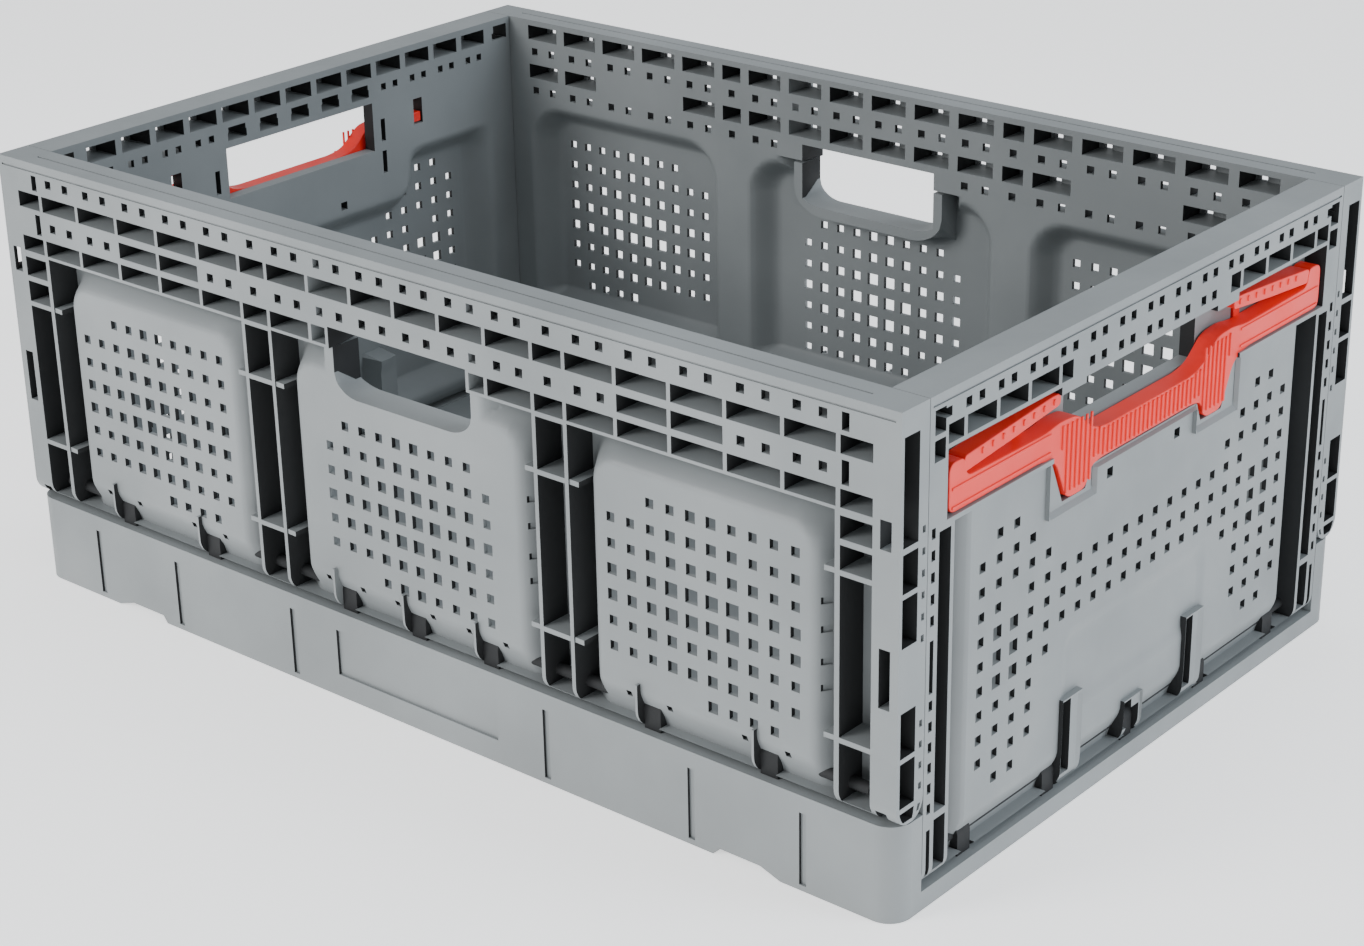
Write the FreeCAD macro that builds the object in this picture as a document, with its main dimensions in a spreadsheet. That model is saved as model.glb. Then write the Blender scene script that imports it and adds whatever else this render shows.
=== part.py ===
import FreeCAD, Part
import math
import os
import re
import Sketcher

V = FreeCAD.Vector
QUARTER = math.pi / 2
os.makedirs("parts", exist_ok=True)
doc = FreeCAD.newDocument("folding_crate")

# ---- every size of the crate, in mm, on one sheet ------------------------------------------
# The crate stands on its floor: +Z up, X along the long walls, origin at the middle of the foot.
SIZES = dict(
    crate_length=600, crate_width=400, crate_height=250, corner_radius=12,
    wall_thick=20, wall_gap=0.4, skin=3, overrun=1,
    floor_thick=9.6, floor_skin=3.6, floor_cell_x=38, floor_cell_y=36,
    floor_pitch_x=41, floor_pitch_y=39, floor_count_x=13, floor_count_y=9, end_rim=0.4,
    groove_wide=4, groove_deep=1.5, groove_a=90, groove_b=182, groove_c=248, groove_low=3, groove_high=41,
    notch_from=195, notch_to=235, notch_high=4, notch_rise=3, notch_slope=12,
    label_half=57, label_low=13, label_high=39,
    rod_radius=3, rod_fit=0.05, knuckle_half=5, knuckle_radius=5.2, knuckle_fit=2.4, knuckle_side=0.4,
    long_pin_b=50, long_pin_c=155, long_pin_d=225, end_pin_b=70, end_pin_c=140,
    hole=4.4, hole_pair=14, cell_high=8.6, cell_deep=15,
    row_pairs=240, row_top=228, row_mid=215, row_low=203,
    rib_a=30, rib_b=60, rib_c=90, rib_d=110, rib_e=141, rib_f=173, rib_g=205, rib_h=237, rib_i=267,
    rib_half=1,
    end_hole_pair=10, cell_pitch=24.4, end_cell_wide=19, end_cell_high=8, end_side_cells=4, end_cells=228,
    end_cells_from=83, end_pairs=13, row_end_pairs=239,
    panel_low=74, panel_high=195, centre_panel=75, side_panel_from=126, side_panel_to=250,
    channel_a_from=78, channel_a_to=89, channel_b_from=91, channel_b_to=109, channel_c_from=111,
    channel_c_to=123, channel_d_from=253, channel_d_to=265, channel_e_from=267, channel_e_to=277,
    channel_low=72, channel_high=196, cross_a=85, cross_b=167, cross_rib=3,
    long_grip_half=47, long_grip_low=172, long_grip_high=208, grip_lip=8,
    end_panel_half=144, end_panel_low=38, end_panel_high=156, end_channel=149, end_channel_wide=14,
    end_channel_low=56, end_channel_high=180,
    latch_half=163, latch_root=150, latch_depth=12, latch_back=1, latch_face=1, latch_lift=8,
    bar_low=190, bar_high=203, arm_high=214, arm_low=205.5, arm_tip_low=213, arm_tip=76, arm_gap=1,
    arm_root_gap=1.2, arm_tip_room=8,
    leg_from=47, leg_to=82, leg_low=164, leg_taper=6, grip_low=175, grip_high=191,
    hump_high=204, hump_slope=8, hump_dip=2, rib_count=14, rib_pitch=6.2, rib_side=3, rib_deep=1.5,
    pocket_half=166, pocket_low=187, pocket_stop=220, pocket_end_high=223.5, pocket_leg_low=161,
    pocket_leg_from=43, pocket_leg_to=86, end_grip_half=58, end_grip_low=172, end_grip_high=222,
    peg_half=3, peg_y=96, peg_z=196, peg_fit=0.5, peg_reach=7.6,
)
sheet = doc.addObject("Spreadsheet::Sheet", "Sheet")
for row, (alias, number) in enumerate(SIZES.items(), start=1):
    sheet_cell = "B%d" % row
    sheet.set("A%d" % row, alias)
    sheet.set(sheet_cell, str(number))
    sheet.setAlias(sheet_cell, alias)
doc.recompute()


def full(expression):
    """The expression with the sheet's name put before each of its aliases."""
    def named(word):
        return "Sheet." + word.group(0) if word.group(0) in SIZES else word.group(0)

    return re.sub(r"[a-z]\w*", named, expression)


def value(expression):
    return float(sheet.evalExpression(full(expression)))


# Heights and depths that several pieces share, as expressions on the sheet.
END_AXIS = "(floor_thick+end_rim+wall_gap+wall_thick/2)"
LONG_AXIS = "(crate_height-crate_width/2+wall_thick/2+wall_gap)"
LONG_RIM = "(crate_height-crate_width/2)"


# ---- sketching helpers ---------------------------------------------------------------------
def origin_feature(body, role):
    return [f for f in body.Origin.OriginFeatures if f.Role == role][0]


def new_body(label):
    body = doc.addObject("PartDesign::Body", label)
    body.Label = label
    return body


def sketch(body, name, role, offset="0"):
    drawing = body.newObject("Sketcher::SketchObject", name)
    drawing.AttachmentSupport = [(origin_feature(body, role), "")]
    drawing.MapMode = "FlatFace"
    drawing.setExpression("AttachmentOffset.Base.z", full(offset))
    return drawing


def fix_point(drawing, element, point, across, up):
    for kind, expression in (("DistanceX", across), ("DistanceY", up)):
        index = drawing.addConstraint(Sketcher.Constraint(kind, -1, 1, element, point, value(expression)))
        drawing.setExpression("Constraints[%d]" % index, full(expression))


def polygon(drawing, points):
    """A closed outline whose corners are (across, up) expressions."""
    corners = [V(value(across), value(up), 0) for across, up in points]
    first = drawing.GeometryCount
    count = len(corners)
    for i in range(count):
        drawing.addGeometry(Part.LineSegment(corners[i], corners[(i + 1) % count]), False)
    for i in range(count):
        drawing.addConstraint(Sketcher.Constraint("Coincident", first + i, 2, first + (i + 1) % count, 1))
    for i, (across, up) in enumerate(points):
        fix_point(drawing, first + i, 1, across, up)


def rect(drawing, left, right, low, high):
    polygon(drawing, [(left, low), (right, low), (right, high), (left, high)])


def circle(drawing, across, up, radius):
    centre = V(value(across), value(up), 0)
    element = drawing.addGeometry(Part.Circle(centre, V(0, 0, 1), value(radius)), False)
    index = drawing.addConstraint(Sketcher.Constraint("Radius", element, value(radius)))
    drawing.setExpression("Constraints[%d]" % index, full(radius))
    fix_point(drawing, element, 3, across, up)


def pad(body, name, drawing, length, middle=False, back=False):
    feature = body.newObject("PartDesign::Pad", name)
    feature.Profile = drawing
    feature.setExpression("Length", full(length))
    feature.SideType = "Symmetric" if middle else "One side"
    feature.Reversed = back
    drawing.Visibility = False
    return feature


def pocket(body, name, drawing, length, middle=False, back=False):
    feature = body.newObject("PartDesign::Pocket", name)
    feature.Profile = drawing
    feature.setExpression("Length", full(length))
    feature.SideType = "Symmetric" if middle else "One side"
    feature.Reversed = back
    drawing.Visibility = False
    return feature


def grid(body, name, feature, ways):
    """The feature repeated along the body's own axes: ways is (axis, count, pitch) for each."""
    doc.recompute()
    pattern = body.newObject("PartDesign::MultiTransform", name)
    pattern.Originals = [feature]
    steps = []
    for axis, count, pitch in ways:
        step = doc.addObject("PartDesign::LinearPattern", "%s_%s" % (name, axis[0].lower()))
        step.Direction = (origin_feature(body, axis), [""])
        step.setExpression("Occurrences", full(count))
        step.setExpression("Length", full("(%s)*(%s-1)" % (pitch, count)))
        steps.append(step)
    pattern.Transformations = steps
    body.Tip = pattern
    return pattern


# ---- walls ---------------------------------------------------------------------------------
# Every wall is drawn in its own frame: hinge axis along X through the origin, outer face at -Y,
# top edge up. OUTER and INNER are the sketch offsets of its two faces on the XZ plane.
OUTER = "wall_thick/2"
INNER = "-wall_thick/2"


def wall_blank(label, half, axis):
    """The flat slab of a wall with its rounded foot around the hinge axis."""
    body = new_body(label)
    slab = sketch(body, label + "_slab", "XZ_Plane", OUTER)
    rect(slab, "-(%s)" % half, half, "0", "crate_height-" + axis)
    pad(body, label + "_plate", slab, "wall_thick", back=True)
    foot = sketch(body, label + "_foot", "YZ_Plane")
    circle(foot, "0", "0", "wall_thick/2")
    pad(body, label + "_barrel", foot, "(%s)*2" % half, middle=True)
    return body


def knuckle_notches(body, label, stations):
    """Through notches for the hinge knuckles, and the bore for the hinge rod."""
    notches = sketch(body, label + "_notches", "XZ_Plane", OUTER)
    half = "(knuckle_half+knuckle_side)"
    for station in stations:
        rect(notches, "%s-%s" % (station, half), "%s+%s" % (station, half),
             "-wall_thick/2-overrun", "knuckle_radius+knuckle_fit")
    pocket(body, label + "_knuckle_room", notches, "wall_thick")
    bore = sketch(body, label + "_bore", "YZ_Plane")
    circle(bore, "0", "0", "rod_radius+rod_fit")
    pocket(body, label + "_rod_bore", bore, "crate_length*2", middle=True)


def square(drawing, across, up, side):
    rect(drawing, "%s-(%s)/2" % (across, side), "%s+(%s)/2" % (across, side),
         "%s-(%s)/2" % (up, side), "%s+(%s)/2" % (up, side))


def above(height, axis):
    return "%s-%s" % (height, axis)


RIBS = ["0"] + ["rib_" + letter for letter in "abcdefghi"]
NARROW, TRIPLE, GRIP = (3,), (5, 6), (0, 1)


def both_ways(low, high):
    return (low, high), ("-(%s)" % high, "-(%s)" % low)


def cell_row(body, name, axis, up, numbers):
    """Blind rectangular cells between the upright ribs, the same to the left and right."""
    drawing = sketch(body, name + "_drawing", "XZ_Plane", OUTER)
    for number in numbers:
        low = RIBS[number] + "+rib_half"
        if up == "row_low" and number == GRIP[-1]:
            low = "long_grip_half+rib_half"
        for left, right in both_ways(low, RIBS[number + 1] + "-rib_half"):
            rect(drawing, left, right, above(up + "-cell_high/2", axis), above(up + "+cell_high/2", axis))
    pocket(body, name, drawing, "cell_deep")


def hole_row(body, name, axis, up, numbers):
    """Paired square holes right through the wall, one pair over the middle of each cell."""
    drawing = sketch(body, name + "_drawing", "XZ_Plane", OUTER)
    for number in numbers:
        middle = "(%s+%s)/2" % (RIBS[number], RIBS[number + 1])
        for offset in ("",) if number in NARROW else ("-hole_pair/2", "+hole_pair/2"):
            for sign in ("", "-"):
                square(drawing, "%s(%s%s)" % (sign, middle, offset), above(up, axis), "hole")
    pocket(body, name, drawing, "wall_thick")


def end_cell_row(body, name, axis, first):
    """Blind cells at an even pitch in the outer face of an end wall."""
    drawing = sketch(body, name + "_drawing", "XZ_Plane", OUTER)
    rect(drawing, "%s-end_cell_wide/2" % first, "%s+end_cell_wide/2" % first,
         above("end_cells-end_cell_high/2", axis), above("end_cells+end_cell_high/2", axis))
    one = pocket(body, name, drawing, "cell_deep")
    grid(body, name + "_row", one, [("X_Axis", "end_side_cells", "cell_pitch")])


def end_hole_row(body, name, axis, first):
    """Paired square holes at an even pitch right through an end wall."""
    drawing = sketch(body, name + "_drawing", "XZ_Plane", OUTER)
    for side in ("-", "+"):
        square(drawing, "%s%send_hole_pair/2" % (first, side), above("row_end_pairs", axis), "hole")
    one = pocket(body, name, drawing, "wall_thick")
    grid(body, name + "_row", one, [("X_Axis", "end_pairs", "cell_pitch")])


def knuckle_list(names):
    return ["0"] + [sign + name for name in names for sign in ("-", "")]


LONG_STATIONS = knuckle_list(["long_pin_b", "long_pin_c", "long_pin_d"])
END_STATIONS = knuckle_list(["end_pin_b", "end_pin_c"])
LONG_HALF = "(crate_length/2-wall_thick-wall_gap)"
END_HALF = "(crate_width/2-wall_thick-wall_gap)"


def long_wall(label):
    axis = LONG_AXIS
    body = wall_blank(label, LONG_HALF, axis)

    panels = sketch(body, label + "_panels", "XZ_Plane", INNER)
    rect(panels, "-centre_panel", "centre_panel",
         above("panel_low", axis), above("long_grip_low-grip_lip", axis))
    for low, high in (("side_panel_from", "side_panel_to"), ("-side_panel_to", "-side_panel_from")):
        rect(panels, low, high, above("panel_low", axis), above("panel_high", axis))
    pocket(body, label + "_panel_recess", panels, "wall_thick-skin", back=True)

    channels = sketch(body, label + "_channels", "XZ_Plane", OUTER)
    for letter in "abcde":
        for low, high in (("channel_low", "cross_a"), ("cross_a+cross_rib", "cross_b"),
                          ("cross_b+cross_rib", "channel_high")):
            for left, right in both_ways("channel_%s_from" % letter, "channel_%s_to" % letter):
                rect(channels, left, right, above(low, axis), above(high, axis))
    pocket(body, label + "_channel_cut", channels, "wall_thick-skin")

    grip = sketch(body, label + "_grip_outline", "XZ_Plane", OUTER)
    chamfer = "grip_lip"
    polygon(grip, [
        ("-long_grip_half+" + chamfer, above("long_grip_low", axis)),
        ("long_grip_half-" + chamfer, above("long_grip_low", axis)),
        ("long_grip_half", above("long_grip_low+" + chamfer, axis)),
        ("long_grip_half", above("long_grip_high", axis)),
        ("-long_grip_half", above("long_grip_high", axis)),
        ("-long_grip_half", above("long_grip_low+" + chamfer, axis)),
    ])
    pocket(body, label + "_grip", grip, "wall_thick")

    every = range(len(RIBS) - 1)
    hole_row(body, label + "_pairs_top", axis, "row_pairs", every)
    cell_row(body, label + "_cells_top", axis, "row_top", every)
    hole_row(body, label + "_pairs_mid", axis, "row_mid", [n for n in every if n not in TRIPLE])
    cell_row(body, label + "_cells_mid", axis, "row_mid", TRIPLE)
    cell_row(body, label + "_cells_low", axis, "row_low", every[1:])

    knuckle_notches(body, label, LONG_STATIONS)
    return body


def end_wall(label):
    axis = END_AXIS
    body = wall_blank(label, END_HALF, axis)

    panel = sketch(body, label + "_panel", "XZ_Plane", INNER)
    rect(panel, "-end_panel_half", "end_panel_half",
         above("end_panel_low", axis), above("end_panel_high", axis))
    pocket(body, label + "_panel_recess", panel, "wall_thick-skin", back=True)

    channels = sketch(body, label + "_channels", "XZ_Plane", OUTER)
    for low, high in (("end_channel_low", "cross_a"), ("cross_a+cross_rib", "end_channel_high")):
        rect(channels, "end_channel", "end_channel+end_channel_wide", above(low, axis), above(high, axis))
        rect(channels, "-end_channel-end_channel_wide", "-end_channel", above(low, axis), above(high, axis))
    pocket(body, label + "_channel_cut", channels, "wall_thick-skin")

    seat = sketch(body, label + "_latch_seat", "XZ_Plane", OUTER)
    right_side = [
        ("pocket_leg_from", above("pocket_low", axis)),
        ("pocket_leg_from", above("pocket_leg_low", axis)),
        ("pocket_leg_to", above("pocket_leg_low", axis)), ("pocket_leg_to", above("pocket_low", axis)),
        ("pocket_half", above("pocket_low", axis)), ("pocket_half", above("pocket_end_high", axis)),
        ("arm_tip-arm_tip_room", above("pocket_stop", axis)),
        ("arm_tip-arm_tip_room", above("end_grip_high", axis)),
    ]
    left_side = [("-(%s)" % across, up) for across, up in reversed(right_side)]
    polygon(seat, right_side + left_side)
    pocket(body, label + "_latch_pocket", seat, "latch_depth")

    grip = sketch(body, label + "_grip_outline", "XZ_Plane", OUTER)
    rect(grip, "-end_grip_half", "end_grip_half",
         above("end_grip_low", axis), above("end_grip_high", axis))
    pocket(body, label + "_grip", grip, "wall_thick")

    slots = sketch(body, label + "_peg_slots", "XZ_Plane", OUTER)
    for across in ("-peg_y", "peg_y"):
        rect(slots, across + "-peg_half-peg_fit", across + "+peg_half+peg_fit",
             above("peg_z-peg_half-peg_fit", axis), above("peg_z+peg_half+peg_fit+latch_lift", axis))
    pocket(body, label + "_peg_slot_cut", slots, "wall_thick")

    end_hole_row(body, label + "_pairs_top", axis, "-cell_pitch*(end_pairs-1)/2")
    end_cell_row(body, label + "_cells_left", axis, "-end_cells_from-cell_pitch*(end_side_cells-1)")
    end_cell_row(body, label + "_cells_right", axis, "end_cells_from")

    knuckle_notches(body, label, END_STATIONS)
    return body


# ---- latch: the red bar of each end wall and its two leaf arms -------------------------------
LATCH_OUT = "wall_thick/2-latch_face"
LATCH_THICK = "latch_depth-latch_back-latch_face"


def latch_bar(label):
    axis = END_AXIS
    body = new_body(label)
    outline = sketch(body, label + "_outline", "XZ_Plane", LATCH_OUT)
    right_side = [
        ("leg_from", above("grip_low", axis)), ("leg_from+leg_taper", above("leg_low", axis)),
        ("leg_to-leg_taper", above("leg_low", axis)), ("leg_to", above("bar_low", axis)),
        ("latch_half", above("bar_low", axis)), ("latch_half", above("arm_high", axis)),
        ("latch_root", above("arm_high", axis)), ("latch_root", above("bar_high", axis)),
        ("leg_to", above("bar_high", axis)), ("leg_to-hump_slope", above("hump_high", axis)),
        ("leg_from+hump_slope", above("hump_high-hump_dip", axis)),
        ("leg_from-leg_taper", above("grip_high", axis)),
    ]
    left_side = [("-(%s)" % across, up) for across, up in reversed(right_side)]
    polygon(outline, right_side + left_side)
    pad(body, label + "_plate", outline, LATCH_THICK, back=True)

    ribs = sketch(body, label + "_ribs", "XZ_Plane", LATCH_OUT)
    square(ribs, "-rib_pitch*(rib_count-1)/2", above("(grip_low+grip_high)/2", axis), "rib_side")
    one = pocket(body, label + "_rib_gap", ribs, "rib_deep")
    grid(body, label + "_rib_row", one, [("X_Axis", "rib_count", "rib_pitch")])

    pegs = sketch(body, label + "_pegs", "XZ_Plane", "wall_thick/2-latch_depth+latch_back")
    for across in ("-peg_y", "peg_y"):
        square(pegs, across, above("peg_z", axis), "peg_half*2")
    pad(body, label + "_peg_pair", pegs, "peg_reach", back=True)
    return body


def latch_arm(label, side):
    """One leaf arm, rooted in the bar's end block and resting its tip under the wall's stop."""
    axis = END_AXIS
    body = new_body(label)
    outline = sketch(body, label + "_outline", "XZ_Plane", LATCH_OUT)
    points = [
        ("latch_root-arm_root_gap", above("arm_low", axis)),
        ("latch_root-arm_root_gap", above("arm_high", axis)),
        ("arm_tip", above("pocket_stop-arm_gap/2", axis)), ("arm_tip", above("arm_tip_low", axis)),
    ]
    polygon(outline, [(side + "(%s)" % across, up) for across, up in points])
    pad(body, label + "_leaf", outline, LATCH_THICK, back=True)
    return body


# ---- hinge rods ----------------------------------------------------------------------------
def hinge_rod(label, half):
    body = new_body(label)
    section = sketch(body, label + "_section", "YZ_Plane")
    circle(section, "0", "0", "rod_radius")
    pad(body, label + "_round", section, "(%s)*2" % half, middle=True)
    return body


# ---- base ----------------------------------------------------------------------------------
def knuckles(body, name, stations, axis, plane, height):
    """Hinge knuckles along one pair of sides: a round eye on a post, repeated on both sides."""
    across = "(crate_width/2-wall_thick/2)" if plane == "YZ_Plane" else "(crate_length/2-wall_thick/2)"
    for number, station in enumerate(stations):
        offset = station if plane == "YZ_Plane" else "-(%s)" % station
        posts = sketch(body, "%s_post_%d" % (name, number), plane, offset)
        for sign in ("-", ""):
            centre = "%s%s" % (sign, across)
            rect(posts, centre + "-knuckle_radius", centre + "+knuckle_radius", height, axis)
        pad(body, "%s_posts_%d" % (name, number), posts, "knuckle_half*2", middle=True)
        eyes = sketch(body, "%s_eye_%d" % (name, number), plane, offset)
        for sign in ("-", ""):
            circle(eyes, "%s%s" % (sign, across), axis, "knuckle_radius")
        pad(body, "%s_eyes_%d" % (name, number), eyes, "knuckle_half*2", middle=True)


def base_tray(label):
    body = new_body(label)
    floor = sketch(body, label + "_floor", "XY_Plane")
    rect(floor, "-crate_length/2", "crate_length/2", "-crate_width/2", "crate_width/2")
    pad(body, label + "_floor_plate", floor, "floor_thick")

    ends = sketch(body, label + "_end_rims", "XY_Plane", "floor_thick")
    for low, high in (("-crate_length/2", "-crate_length/2+wall_thick"),
                      ("crate_length/2-wall_thick", "crate_length/2")):
        rect(ends, low, high, "-crate_width/2", "crate_width/2")
    pad(body, label + "_end_rim", ends, "end_rim")

    sides = sketch(body, label + "_long_rims", "XY_Plane", "floor_thick-overrun")
    for low, high in (("-crate_width/2", "-crate_width/2+wall_thick"),
                      ("crate_width/2-wall_thick", "crate_width/2")):
        rect(sides, "-crate_length/2", "crate_length/2", low, high)
    pad(body, label + "_long_rim", sides, LONG_RIM + "-floor_thick+overrun")

    corners = sketch(body, label + "_corner_waste", "XY_Plane")
    for sign_x in (-1, 1):
        for sign_y in (-1, 1):
            corner_waste(corners, sign_x, sign_y)
    pocket(body, label + "_corner_rounding", corners, LONG_RIM, back=True)

    knuckles(body, label + "_long", LONG_STATIONS, LONG_AXIS, "YZ_Plane", LONG_RIM + "-overrun")
    knuckles(body, label + "_end", END_STATIONS, END_AXIS, "XZ_Plane", "floor_thick-overrun")
    long_bore = sketch(body, label + "_long_bores", "YZ_Plane")
    end_bore = sketch(body, label + "_end_bores", "XZ_Plane")
    for sign in ("-", ""):
        circle(long_bore, sign + "(crate_width/2-wall_thick/2)", LONG_AXIS, "rod_radius")
        circle(end_bore, sign + "(crate_length/2-wall_thick/2)", END_AXIS, "rod_radius")
    pocket(body, label + "_long_bore", long_bore, "crate_length", middle=True)
    pocket(body, label + "_end_bore", end_bore, END_HALF + "*2", middle=True)

    for side, face, back in (("front", "crate_width/2", False), ("back", "-crate_width/2", True)):
        lines = sketch(body, "%s_groove_lines_%s" % (label, side), "XZ_Plane", face)
        for groove in ("groove_a", "groove_b", "groove_c"):
            for sign in ("-", ""):
                rect(lines, "%s%s-groove_wide/2" % (sign, groove), "%s%s+groove_wide/2" % (sign, groove),
                     "groove_low", "groove_high")
        rect(lines, "-label_half", "label_half", "label_low", "label_high")
        pocket(body, "%s_grooves_%s" % (label, side), lines, "groove_deep", back=back)

    notch = sketch(body, label + "_foot_notches", "XZ_Plane")
    for sign in ("-", ""):
        polygon(notch, [(sign + "notch_from", "0"), (sign + "(notch_from+notch_rise)", "notch_high"),
                        (sign + "(notch_to-notch_slope)", "notch_high"), (sign + "notch_to", "0")])
    pocket(body, label + "_foot_notch", notch, "crate_width", middle=True)

    under = sketch(body, label + "_cell", "XY_Plane")
    first_x = "-floor_pitch_x*(floor_count_x-1)/2"
    first_y = "-floor_pitch_y*(floor_count_y-1)/2"
    rect(under, first_x + "-floor_cell_x/2", first_x + "+floor_cell_x/2",
         first_y + "-floor_cell_y/2", first_y + "+floor_cell_y/2")
    one = pocket(body, label + "_floor_cell", under, "floor_thick-floor_skin", back=True)
    grid(body, label + "_floor_cells", one,
         [("X_Axis", "floor_count_x", "floor_pitch_x"), ("Y_Axis", "floor_count_y", "floor_pitch_y")])
    return body


def corner_waste(drawing, sign_x, sign_y):
    """The scrap outside one rounded corner: two straight edges and a quarter arc."""
    half_x = "(%d*crate_length/2)" % sign_x
    half_y = "(%d*crate_width/2)" % sign_y
    in_x = "%s-(%d)*corner_radius" % (half_x, sign_x)
    in_y = "%s-(%d)*corner_radius" % (half_y, sign_y)
    tip = V(value(half_x), value(half_y), 0)
    centre = V(value(in_x), value(in_y), 0)
    on_side = V(centre.x, tip.y, 0)
    on_end = V(tip.x, centre.y, 0)
    quarter = {(1, 1): 0, (-1, 1): 1, (-1, -1): 2, (1, -1): 3}[sign_x, sign_y]
    circle_line = Part.Circle(centre, V(0, 0, 1), value("corner_radius"))
    first = drawing.GeometryCount
    drawing.addGeometry(Part.LineSegment(on_side, tip), False)
    drawing.addGeometry(Part.LineSegment(tip, on_end), False)
    drawing.addGeometry(Part.ArcOfCircle(circle_line, quarter * QUARTER, (quarter + 1) * QUARTER), False)
    arc = first + 2
    joined = 2 if sign_x == sign_y else 1
    drawing.addConstraint(Sketcher.Constraint("Coincident", first, 2, first + 1, 1))
    drawing.addConstraint(Sketcher.Constraint("Coincident", first, 1, arc, joined))
    drawing.addConstraint(Sketcher.Constraint("Coincident", first + 1, 2, arc, 3 - joined))
    fix_point(drawing, first, 2, half_x, half_y)
    fix_point(drawing, first, 1, in_x, half_y)
    fix_point(drawing, first + 1, 2, half_x, in_y)
    index = drawing.addConstraint(Sketcher.Constraint("DistanceX", -1, 1, arc, 3, value(in_x)))
    drawing.setExpression("Constraints[%d]" % index, full(in_x))


# ---- the pieces, each with its own place in the crate ---------------------------------------
def place(body, pos, turn):
    body.Placement = FreeCAD.Placement(V(0, 0, 0), FreeCAD.Rotation(V(0, 0, 1), turn))
    for axis_name, expression in zip("xyz", pos):
        body.setExpression("Placement.Base." + axis_name, full(expression))


LONG_Y = "(crate_width/2-wall_thick/2)"
END_X = "(crate_length/2-wall_thick/2)"
PLACES = {
    "front": (("0", "-" + LONG_Y, LONG_AXIS), 0),
    "back": (("0", LONG_Y, LONG_AXIS), 180),
    "right": ((END_X, "0", END_AXIS), 90),
    "left": (("-" + END_X, "0", END_AXIS), 270),
}


def twin(first, label):
    """The same moulding used again on the opposite side."""
    again = doc.addObject("App::Link", label)
    again.Label = label
    again.LinkedObject = first
    again.LinkTransform = False
    return again


pieces = [base_tray("base_tray")]
for piece, other, bodies in (
    ("front", "back", (("long_wall_%s", long_wall, ()), ("hinge_rod_%s", hinge_rod, (LONG_HALF,)))),
    ("right", "left", (("end_wall_%s", end_wall, ()), ("hinge_rod_%s", hinge_rod, (END_HALF,)),
                       ("latch_bar_%s", latch_bar, ()), ("latch_spring_%s_a", latch_arm, ("-",)),
                       ("latch_spring_%s_b", latch_arm, ("",)))),
):
    for name, make, extra in bodies:
        original = make(name % piece, *extra)
        copy = twin(original, name % other)
        place(original, *PLACES[piece])
        place(copy, *PLACES[other])
        pieces += [original, copy]
doc.recompute()

for item in doc.Objects:
    if "Invalid" in item.State or "Error" in item.State:
        raise RuntimeError("%s is %s" % (item.Name, item.State))
for body in pieces:
    shape = body.Shape
    if shape.isNull() or not shape.isValid() or len(shape.Solids) != 1:
        raise RuntimeError("%s has a bad shape: %d solids" % (body.Label, len(shape.Solids)))
    shape.exportStep("parts/%s.step" % body.Label)
    box = shape.BoundBox
    print(body.Label, len(shape.Faces), "faces", round(shape.Volume), "mm3", box)
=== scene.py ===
import math

import bmesh
import bpy
import numpy as np
from mathutils import Matrix, Vector


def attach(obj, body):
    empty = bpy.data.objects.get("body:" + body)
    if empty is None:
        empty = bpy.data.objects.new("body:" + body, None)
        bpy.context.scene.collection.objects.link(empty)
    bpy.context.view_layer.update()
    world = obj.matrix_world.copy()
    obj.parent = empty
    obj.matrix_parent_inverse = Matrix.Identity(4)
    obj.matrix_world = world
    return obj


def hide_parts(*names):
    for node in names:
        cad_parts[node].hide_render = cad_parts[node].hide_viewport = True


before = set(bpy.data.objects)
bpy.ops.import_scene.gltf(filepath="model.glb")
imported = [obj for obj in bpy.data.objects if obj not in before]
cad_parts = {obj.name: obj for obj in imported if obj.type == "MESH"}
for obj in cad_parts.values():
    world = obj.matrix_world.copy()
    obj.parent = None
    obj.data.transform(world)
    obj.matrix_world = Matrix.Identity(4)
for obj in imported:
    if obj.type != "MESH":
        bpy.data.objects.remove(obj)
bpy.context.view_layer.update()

# ---- sizes, in mm ---------------------------------------------------------------------------
LENGTH, WIDTH, HEIGHT = 600.0, 400.0, 250.0
THICK = 20.0
LONG_AXIS, END_AXIS = 60.4, 20.4
FOOT_RADIUS = THICK / 2
PANEL_SKIN = (17.5, 20.0)
BULGE = 15.0
LIP_END = 21.3
BOTTOM_SHARE, BOTTOM_SLOPE = 0.42, 18.0
HINGE_COVER, HOLLOW_SLOPE = 8.0, 12.0
WALL_EDGE = 0.3
MM = 0.001


# ---- materials --------------------------------------------------------------------------------
def noise_node(tree, scale, detail=4.0):
    node = tree.nodes.new("ShaderNodeTexNoise")
    node.inputs["Scale"].default_value = scale
    node.inputs["Detail"].default_value = detail
    coords = tree.nodes.new("ShaderNodeTexCoord")
    tree.links.new(coords.outputs["Object"], node.inputs["Vector"])
    return node


def ramp_node(tree, source, low, high, start=0.35, end=0.7):
    ramp = tree.nodes.new("ShaderNodeValToRGB")
    ramp.color_ramp.elements[0].position = start
    ramp.color_ramp.elements[1].position = end
    ramp.color_ramp.elements[0].color = low
    ramp.color_ramp.elements[1].color = high
    tree.links.new(source, ramp.inputs["Fac"])
    return ramp


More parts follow.
